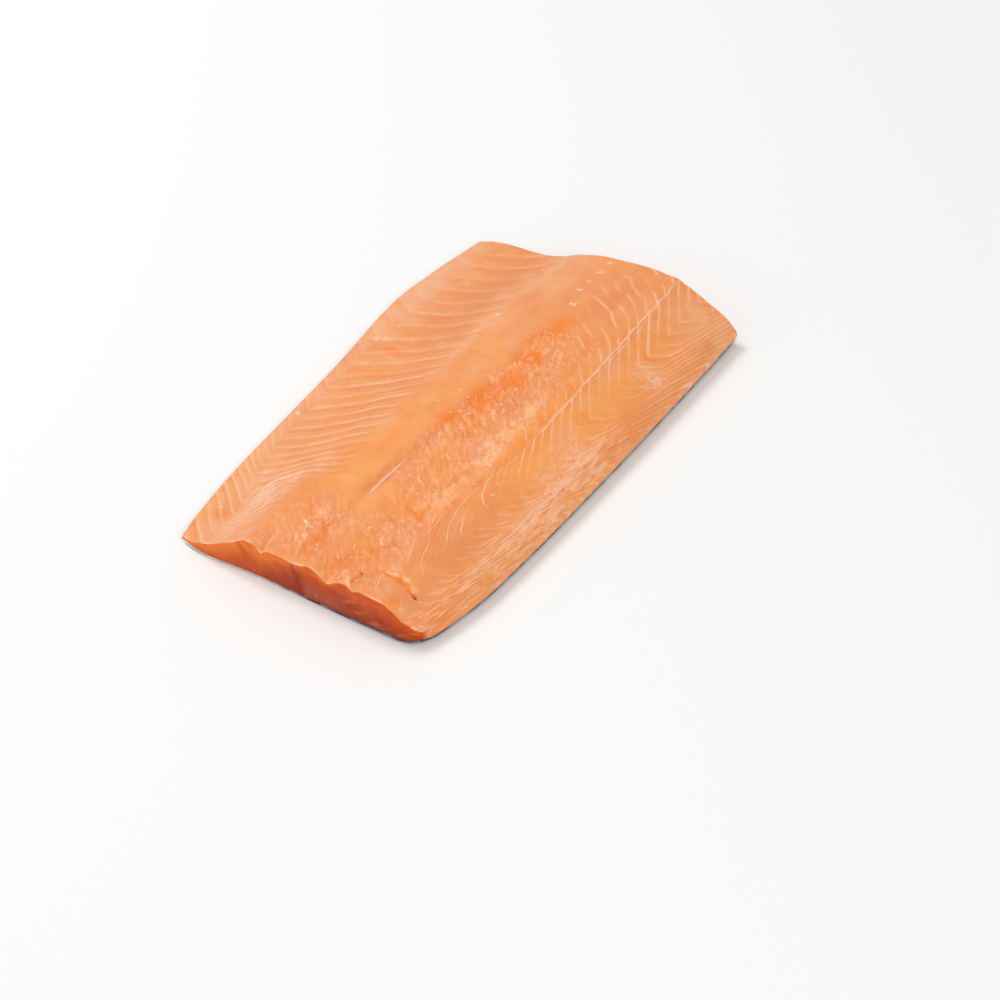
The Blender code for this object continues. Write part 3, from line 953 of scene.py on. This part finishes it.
# Places of the single grains and crumbs, and the number of further crumbs.
WHITE_SPECKS = (
    (45.9, 213.0), (42.2, 262.6), (78.7, 233.5), (75.5, 245.9), (76.0, 254.1), (78.1, 263.9),
    (77.7, 273.8), (-6.1, 173.8), (-6.2, 105.2), (82.6, 38.6),
)
PALE_CRUMBS = (
    (120, 91.5), (118.5, 99.3), (106.7, 126.9), (102.5, 155.1), (101.6, 132.2), (89.7, 161.3),
    (76.6, 138.7), (60, 135.6), (71, 129.8), (74.4, 120.1), (75.9, 167.9), (87.7, 192.4),
    (102.5, 63.5), (93.5, 53), (104, 79), (100.5, 84), (109.5, 92), (66, 39.5), (58, 26),
    (90.5, 3.5), (135.5, 5.5), (133, 8), (121.8, 18.2), (123.2, 17.6), (65.3, 147.8),
    (97, 153.5), (28.5, 16.5), (69, 64.5), (66.4, 41.5),
)
TORN_CRUMBS = 60


def white_specks(draw):
    """Small whitish grains on the surface."""
    bundle = Bundle()
    for x, y in WHITE_SPECKS:
        for _ in range(draw.integers(2, 6)):
            sizes = draw.uniform((0.35, 0.3, 0.2), (0.9, 0.6, 0.35))
            place = draw.normal(0, 0.8, 2)
            turn = draw.uniform(0, np.pi)
            bundle.crumb(x + place[0], y + place[1], sizes, turn, draw.uniform(0.2, 1), draw, 0.5)
    return bundle.make("white_specks")


def crumb_wanted(x, y):
    """How often a crumb lies at a place."""
    return 0.45 * fibrous(x, y) + 0.9 * creamy(x, y) + 0.4 * ragged_ends(x, y)


def torn_crumbs(draw):
    """Soft lumps of the scraped middle and the tail cut."""
    bundle = Bundle()
    for x, y in PALE_CRUMBS:
        sizes = draw.uniform((1.0, 0.7, 0.35), (2.0, 1.3, 0.6))
        bundle.crumb(x, y, sizes, draw.uniform(0, np.pi), draw.uniform(0.4, 0.9), draw, 0.75)
    for x, y in scattered(draw, TORN_CRUMBS, (60, 14), (114, 215), crumb_wanted):
        sizes = draw.uniform((0.7, 0.5, 0.3), (1.9, 1.1, 0.6))
        bundle.crumb(x, y, sizes, draw.normal(1.9, 0.6), draw.uniform(0.0, 0.7), draw, 0.8)
    return bundle.make("torn_crumbs")


def fat_strands(draw):
    """All the pale strands in one piece."""
    bundle = Bundle()
    pin_strands(bundle, draw)
    torn_strands(bundle, draw)
    edge_strands(bundle, draw)
    for points in THREADS:
        thread(bundle, points, draw.uniform(0.16, 0.3), 0.5, (113, 114), 0.5, -0.1)
    scar(bundle)
    for number, (points, radius) in enumerate(BELLY_THREADS):
        thread(bundle, points, radius, 0.6, (116, 117 + number), 0.8, -0.3)
    return bundle.make("fat_strands")


# Rings round the skin's rim: share of its thickness, and how far it stands out.
SKIN_RINGS = ((0.3, 0.25), (0.7, 0.3), (1, 0.1))


def skin_piece():
    """The skin: its scaly outer face first, then its rim, then its inner face."""
    shell = Shell(SKIN_COLUMNS, SKIN_ROWS, 1.0)
    x, y = plan(shell.across, shell.along)
    width = curve(BACK_EDGE, shell.along) - curve(BELLY_EDGE, shell.along)
    sides = shell.across * width, (1 - shell.across) * width
    gaps = np.stack([*sides, shell.along * LENGTH, (1 - shell.along) * LENGTH])
    inset = np.minimum(gaps.min(0), RIM_WIDTH)
    nearest = gaps.argmin(0)
    edge_across = np.choose(nearest, [0 * x, 0 * x + 1, shell.across, shell.across])
    edge_along = np.choose(nearest, [shell.along, shell.along, 0 * x, 0 * x + 1])
    lift = curl(edge_across, edge_along) * (1 - inset / RIM_WIDTH) ** 2
    shell.add_points(0, x, y, lift)
    across, along = shell.shares_round()
    out_x, out_y = shell.outward()
    for level, proud in SKIN_RINGS:
        ring_x, ring_y, ring_z = underside_point(across, along, 0.0, SKIN_THICKNESS * level)
        shell.add_ring(level, ring_x + out_x * proud, ring_y + out_y * proud, ring_z)
    for step in range(1, RIM_STEPS + 1):
        inset = RIM_WIDTH * step / RIM_STEPS
        shell.add_ring(1, *underside_point(across, along, inset, SKIN_THICKNESS))
    piece, x, y, _, level = shell.make("skin_loin", flip=True)
    store(piece, "skin", level, shares(x, y)[0], 0)
    return piece


# Materials


def tone(red, green, blue):
    """A colour of the screen, 0 to 255, as the shader's linear one."""
    share = np.array([red, green, blue]) / 255
    return (*np.where(share <= 0.04045, share / 12.92, ((share + 0.055) / 1.055) ** 2.4).tolist(), 1.0)


def shade_of(value):
    """A tone of the screen as a linear colour, and a link as it is."""
    return tone(*value) if isinstance(value, tuple) else value


class Wiring:
    """Adds the nodes of one material and links them; colour is the colour laid on so far."""

    def __init__(self, name):
        self.material = bpy.data.materials.new(name)
        self.material.use_nodes = True
        self.tree = self.material.node_tree
        self.shader = self.tree.nodes["Principled BSDF"]
        self.place = self.node("ShaderNodeTexCoord").outputs["Object"]

    def node(self, kind, sockets=None, **settings):
        made = self.tree.nodes.new(kind)
        for name, value in settings.items():
            setattr(made, name, value)
        for socket, value in (sockets or {}).items():
            self.feed(made.inputs[socket], value)
        return made

    def feed(self, socket, value):
        """Links an output to the socket, or sets the socket's own value."""
        if isinstance(value, bpy.types.NodeSocket):
            self.tree.links.new(value, socket)
        else:
            socket.default_value = value

    def math(self, operation, *values):
        return self.node("ShaderNodeMath", dict(enumerate(values)), operation=operation).outputs[0]

    def plus(self, first, second):
        return self.math("ADD", first, second)

    def less(self, first, second):
        return self.math("SUBTRACT", first, second)

    def times(self, product, *others):
        for other in others:
            product = self.math("MULTIPLY", product, other)
        return product

    def blend(self, share, first, second):
        sockets = {0: share, 6: shade_of(first), 7: shade_of(second)}
        return self.node("ShaderNodeMix", sockets, data_type="RGBA").outputs[2]

    def paint(self, over, weight, *shares):
        """Lays a colour over the one so far, as thickly as the shares times weight say."""
        self.colour = self.blend(self.times(*shares, weight), self.colour, over)

    def ramp(self, value, low, high, to_low=0.0, to_high=1.0):
        """A smooth step of value between low and high."""
        sockets = {0: value, 1: low, 2: high, 3: to_low, 4: to_high}
        return self.node("ShaderNodeMapRange", sockets, interpolation_type="SMOOTHSTEP").outputs[0]

    def noise(self, scale, detail=2.0, stretch=(1, 1, 1), warp=0.0, turn=(0, 0, 0), at=None):
        """Noise from 0 to 1, scale lumps to the metre."""
        turned = self.node("ShaderNodeMapping", {0: at or self.place, 2: turn}).outputs[0]
        place = self.node("ShaderNodeMapping", {0: turned, 3: stretch}).outputs[0]
        sockets = {"Vector": place, "Scale": scale, "Detail": detail, "Distortion": warp}
        return self.node("ShaderNodeTexNoise", sockets).outputs["Fac"]

    def values(self, name):
        """The three values that store() kept."""
        vector = self.node("ShaderNodeAttribute", attribute_name=name).outputs["Vector"]
        return self.node("ShaderNodeSeparateXYZ", {0: vector}).outputs[:3]

    def bump(self, height, distance, strength=1.0, after=None):
        sockets = {"Height": height, "Distance": distance, "Strength": strength}
        if after:
            sockets["Normal"] = after
        return self.node("ShaderNodeBump", sockets).outputs[0]

    def finish(self, sockets):
        """Sets or links the shader's sockets, with the colour laid on as its base."""
        self.feed(self.shader.inputs["Base Color"], self.colour)
        for name, value in sockets.items():
            self.feed(self.shader.inputs[name], value)
        return self.material


# Fat lines: their width, the widest share of the gap that they fill and how far they waver, in
# millimetres. Then, for each family, the weight of its lines, of the light beside them and of the
# darker band below them, which is partly painted shade of the flakes' steep tail-side faces, its
# faintest line and how far its lines are broken.
LINE_WIDTH = 1.0
CLOSE_LINES = 0.32
WOBBLE = 0.7
LINE_LOOKS = (
    ("belly", 0.46, 0.4, 0.6, 0.55, 0.45), ("fine", 0.36, 0.08, 0.1, 0.4, 0.5),
    ("middle", 0.52, 0.2, 0.35, 0.5, 0.95), ("back", 0.62, 0.18, 0.35, 0.35, 0.65),
)


def fat_lines(w, name, wobble, gaps, faintest, broken):
    """A family's lines, the soft light beside them and the darker band on their tail side, partly
    painted shade, 0 to 1.
    """
    count, gap, strength = w.values(name)
    shift = w.times(w.less(wobble, 0.5), WOBBLE)
    count = w.plus(count, w.math("DIVIDE", shift, gap))
    share = w.math("PINGPONG", count, 0.5)
    width = w.math("MINIMUM", w.times(gap, CLOSE_LINES), LINE_WIDTH)
    near = w.ramp(w.math("DIVIDE", w.times(share, gap), width), 1.0, 0.1)
    own = w.node("ShaderNodeTexWhiteNoise", {"W": w.math("ROUND", count)}, noise_dimensions="1D")
    kept = w.less(1.0, w.times(gaps, broken))
    strength = w.times(strength, w.ramp(own.outputs[0], 0.0, 1.0, faintest, 1.0), kept)
    beside = w.times(w.ramp(share, 0.34, 0.04), strength)
    # The darker band on each line's tail side: partly painted shade of the flake's steep face.
    tail_shade = w.times(w.ramp(w.math("FRACT", count), 0.4, 0.9), strength)
    return w.times(near, strength), beside, tail_shade


def lay_flesh(w, orange, red):
    """The flesh's colour, with its broad fields and patches; the dusky and pale fields partly hold
    painted shade and painted sheen.
    """
    light, dusky_and_shade, sunny = w.values("field")
    w.colour = w.blend(w.ramp(w.noise(35, 2), 0.3, 0.7), (234, 144, 75), (240, 157, 84))
    w.paint((245, 160, 68), 0.75, sunny)
    # Dusky fields: a darker tone, partly painted shade on slopes turned away from the light.
    w.paint((219, 135, 82), 0.7, dusky_and_shade)
    # light: pale fields, partly painted sheen and painted light where the surface faces the light.
    w.paint((238, 180, 138), 0.75, light)
    w.paint((230, 130, 62), 0.45, w.ramp(w.noise(90, 3, warp=0.4), 0.4, 0.72))
    w.paint((238, 165, 118), 0.5, w.ramp(w.noise(60, 3, warp=0.3), 0.48, 0.72))
    w.paint((218, 104, 66), 0.6, red)
    w.paint((240, 126, 22), 1.0, orange)


def lay_fat_lines(w):
    gaps = w.ramp(w.noise(120, 3), 0.56, 0.42)
    wobble = w.noise(110, 2)
    for name, line, glow, shade, faintest, broken in LINE_LOOKS:
        lines, beside, tail_shade = fat_lines(w, name, wobble, gaps, faintest, broken)
        # Deeper orange below each line, partly painted shade of the flakes' steep tail-side faces.
        w.paint((222, 120, 56), shade, tail_shade)
        w.paint((243, 178, 128), glow, beside)
        w.paint((250, 204, 164), line, lines)


def lay_tears(w, fibres, fine, pale, orange):
    """Frayed strokes, pale mottling and cream lumps."""
    lump, zone, strip = w.values("torn")
    pin, cream, along_pin = w.values("guide")
    turn = (0, 0, np.radians(-90 - STROKE_TURN))
    frayed = w.times(zone, w.less(1.0, w.times(orange, 0.8)))
    strokes = w.noise(200, 2, stretch=(2.6, 1, 1), turn=turn, warp=0.25)
    flecks = w.ramp(w.noise(430, 2, stretch=(2.0, 1, 1), turn=turn, warp=0.4), 0.56, 0.68)
    w.paint((226, 138, 96), 0.5, frayed, w.ramp(w.noise(65, 2, warp=0.3), 0.46, 0.66))
    w.paint((228, 112, 42), 0.5, zone, w.ramp(strokes, 0.48, 0.36))
    w.paint((249, 184, 138), 0.6, frayed, w.ramp(strokes, 0.53, 0.67))
    w.paint((252, 200, 172), 0.6, frayed, flecks, w.ramp(w.noise(110, 2), 0.46, 0.6))
    w.paint((251, 200, 168), 0.65, pale, w.ramp(fine, 0.35, 0.6, 0.2, 1.0))
    w.paint((249, 186, 124), 0.6, strip, w.ramp(w.noise(150, 3, warp=0.6), 0.48, 0.62))
    w.paint((248, 180, 132), 0.25, lump, w.ramp(fibres, 0.38, 0.6, 0.3, 1.0))
    w.paint((252, 206, 148), 0.7, cream)
    uneven = w.times(w.less(fine, 0.5), 2.0)
    ridge = w.ramp(w.math("ABSOLUTE", w.plus(pin, uneven)), 1.2, 0.2)
    w.paint((249, 190, 148), 0.3, ridge, along_pin)


def lay_edge_streaks(w):
    """Pale streaks that follow the back edge, and orange ones beside them that are partly painted
    shade.
    """
    x, y, zone = w.values("edge")
    place = w.node("ShaderNodeCombineXYZ", {0: x, 1: y}).outputs[0]
    streaks = w.noise(260, 3, stretch=(2.6, 0.35, 1), warp=0.35, at=place)
    # Orange streaks: partly painted shade beside the pale streaks.
    w.paint((226, 116, 52), 0.6, zone, w.ramp(streaks, 0.47, 0.34))
    w.paint((247, 192, 150), 0.7, zone, w.ramp(streaks, 0.52, 0.64))
    patches = w.noise(110, 2, stretch=(1.6, 0.6, 1), at=place)
    w.paint((248, 196, 166), 0.4, w.ramp(patches, 0.5, 0.64), zone)


def lay_cuts(w, fibres, cut, level, dark):
    """The cuts: bright along the top, deep red-orange below, with slanted pale flakes; the deep tones,
    darker towards the bottom, are partly painted shade of walls turned away from the light.
    """
    pink, white, share = w.values("cut")
    top = w.colour
    # Deep red-orange low on the walls and brighter high up: partly the cut flesh's colour, partly
    # painted shade of walls that face away from the light.
    low = w.blend(w.ramp(share, 0.1, 0.5), (216, 90, 22), (166, 56, 14))
    high = w.blend(w.ramp(share, 0.2, 0.5), (246, 130, 36), (216, 86, 12))
    uneven = w.plus(level, w.times(w.less(w.noise(90, 3), 0.5), 0.7))
    w.colour = w.blend(w.ramp(uneven, 0.15, 0.95), low, high)
    w.paint((246, 128, 36), 0.6, w.ramp(uneven, 0.68, 0.95), w.ramp(share, 0.72, 0.55))
    w.paint((248, 150, 72), 0.35, w.ramp(level, 0.93, 1.0))
    left = w.noise(120, 3, stretch=(2.4, 0.7, 0.8), warp=0.5, turn=(0, 0.8, 0))
    right = w.noise(120, 3, stretch=(0.8, 0.7, 2.4), warp=0.5, turn=(0, 0.25, 0))
    change = w.times(w.less(right, left), w.ramp(share, 0.5, 0.75))
    streaks = w.plus(left, change)
    w.paint((238, 140, 84), 0.35, w.ramp(streaks, 0.56, 0.7))
    w.paint((160, 46, 14), 0.3, w.ramp(streaks, 0.44, 0.32))
    w.paint((186, 104, 74), 0.7, pink, w.ramp(fibres, 0.35, 0.6, 0.45, 1.0))
    w.paint((250, 196, 170), 0.6, white)
    w.colour = w.blend(cut, top, w.colour)
    # The blood line of the cuts, and on the top a near-black red that is painted shade in the small
    # hole.
    w.paint(w.blend(cut, (122, 8, 0), (162, 34, 6)), 0.85, dark)


# How much of the light goes into the flesh, and the weight of its wet coat.
FLESH_DEPTH = 0.35
MOIST_COAT = 0.25


def moist(w, depth):
    """The soft gloss of raw fish."""
    return {
        "Subsurface Weight": depth,
        "Subsurface Radius": (1.0, 0.45, 0.2),
        "Subsurface Scale": 0.0018,
        "Roughness": w.ramp(w.noise(110, 3), 0.3, 0.7, 0.32, 0.48),
        "Coat Weight": MOIST_COAT,
        "Coat Roughness": 0.18,
    }


def flesh_material():
    w = Wiring("flesh_moist")
    orange, pale, red = w.values("tint")
    cut, level, dark = w.values("wall")
    fibres = w.noise(150, 4, stretch=(4.5, 1.0, 1.0), warp=0.4)
    fine = w.noise(420, 3, warp=0.6)
    lay_flesh(w, orange, red)
    lay_fat_lines(w)
    lay_tears(w, fibres, fine, pale, orange)
    lay_edge_streaks(w)
    lay_cuts(w, fibres, cut, level, dark)
    dull = w.math("MAXIMUM", cut, dark)
    looks = moist(w, FLESH_DEPTH)
    looks["Coat Weight"] = w.ramp(dull, 0.0, 1.0, MOIST_COAT, 0.0)
    looks["Specular IOR Level"] = w.ramp(dull, 0.0, 1.0, 0.5, 0.2)
    looks["Normal"] = w.bump(fine, 0.0002, 0.5, after=w.bump(fibres, 0.0003, 0.6))
    return w.finish(looks)


def bits_material(name, first, last):
    """A moist material between two tones, by each body's own shade."""
    w = Wiring(name)
    w.colour = w.blend(w.values("own")[0], first, last)
    w.paint(first, 0.3, w.ramp(w.noise(500, 2), 0.4, 0.65))
    return w.finish(moist(w, 0.0))


def cells(w, place, scale, randomness):
    """Distance from the nearest of scattered points, scale of them to the metre."""
    sockets = {"Vector": place, "Scale": scale, "Randomness": randomness}
    return w.node("ShaderNodeTexVoronoi", sockets, feature="F1").outputs["Distance"]


def skin_material():
    """Scales, silver at the belly edge and blue-grey with spots at the back."""
    w = Wiring("skin_silver")
    level, across = w.values("skin")[:2]
    broad = w.noise(45, 3)
    flat = w.node("ShaderNodeMapping", {0: w.place, 3: (1.0, 0.62, 0.0)}).outputs[0]
    scales = cells(w, flat, 430.0, 0.45)
    wander = w.times(w.less(broad, 0.5), 0.25)
    back = w.ramp(w.plus(across, wander), 0.3, 0.75)
    w.colour = w.blend(back, (206, 208, 208), (72, 84, 96))
    w.paint((52, 60, 70), 0.45, w.ramp(scales, 0.1, 0.75))
    w.paint((26, 30, 36), 0.8, w.ramp(cells(w, w.place, 85.0, 1.0), 0.2, 0.12), back)
    glints = w.ramp(w.noise(110, 3, warp=0.4), 0.42, 0.62)
    silver = w.blend(glints, (206, 200, 196), (240, 236, 232))
    slate = w.blend(glints, (58, 56, 56), (142, 146, 154))
    w.paint(w.blend(w.ramp(across, 0.3, 0.55), silver, slate), 1.0, w.ramp(level, 0.0, 0.25))
    return w.finish({
        "Metallic": 0.35,
        "Roughness": w.ramp(broad, 0.3, 0.7, 0.24, 0.4),
        "Coat Weight": 0.3,
        "Normal": w.bump(scales, 0.0004, 0.7),
    })


# Stage: the camera's place, turn in degrees and lens, and each light's place, width and power.
CAMERA_PLACE = (0.6149, -0.9101, 0.9503)
CAMERA_TURN = (47.807, 0.388, 32.516)
CAMERA_LENS = 102.64
LIGHTS = {"key": ((-1.4, 0.1, 1.8), 1.0, 25.0), "fill": ((1.6, -0.9, 1.5), 1.6, 18.0)}
WORLD_STRENGTH = 0.55
WHITE = (1.0, 1.0, 1.0, 1.0)
FLOOR_SIZE = 8.0
FLOOR_COLOUR = (0.88, 0.875, 0.865, 1.0)
FLOOR_ROUGHNESS = 0.7


def add_stage():
    bpy.ops.mesh.primitive_plane_add(size=FLOOR_SIZE)
    floor = bpy.context.object
    floor.name = "floor"
    w = Wiring("floor_pale")
    w.colour = FLOOR_COLOUR
    floor.data.materials.append(w.finish({"Roughness": FLOOR_ROUGHNESS}))


def add_lights():
    """Two soft lights that face the part, and an even white world."""
    for name, (place, size, power) in LIGHTS.items():
        data = bpy.data.lights.new(name, "AREA")
        data.shape = "DISK"
        data.size = size
        data.energy = power
        light = link(name, data)
        light.location = place
        light.rotation_mode = "QUATERNION"
        light.rotation_quaternion = (-Vector(place)).to_track_quat("-Z", "Y")
    world = bpy.data.worlds.new("studio")
    world.use_nodes = True
    background = world.node_tree.nodes["Background"]
    background.inputs["Color"].default_value = WHITE
    background.inputs["Strength"].default_value = WORLD_STRENGTH
    bpy.context.scene.world = world
    bpy.context.scene.view_settings.view_transform = "Standard"


def add_camera():
    data = bpy.data.cameras.new("camera")
    data.lens = CAMERA_LENS
    camera = link("camera", data)
    camera.location = CAMERA_PLACE
    camera.rotation_euler = np.radians(CAMERA_TURN)
    bpy.context.scene.camera = camera


def wear(piece, material, node):
    """Gives a piece its material and its place in the frame."""
    piece.data.materials.append(material)
    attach(piece, "root")
    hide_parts(node)


add_camera()
add_lights()
add_stage()
wear(flesh_piece(), flesh_material(), "flesh")
wear(skin_piece(), skin_material(), "skin")
draw = np.random.default_rng(7)
fat = bits_material("fat_moist", (244, 160, 108), (252, 204, 174))
torn = bits_material("torn_moist", (242, 142, 78), (250, 188, 136))
grains = bits_material("specks_pale", (250, 198, 170), (254, 230, 216))
wear(fat_strands(draw), fat, "flesh")
wear(torn_crumbs(draw), torn, "flesh")
wear(white_specks(draw), grains, "flesh")
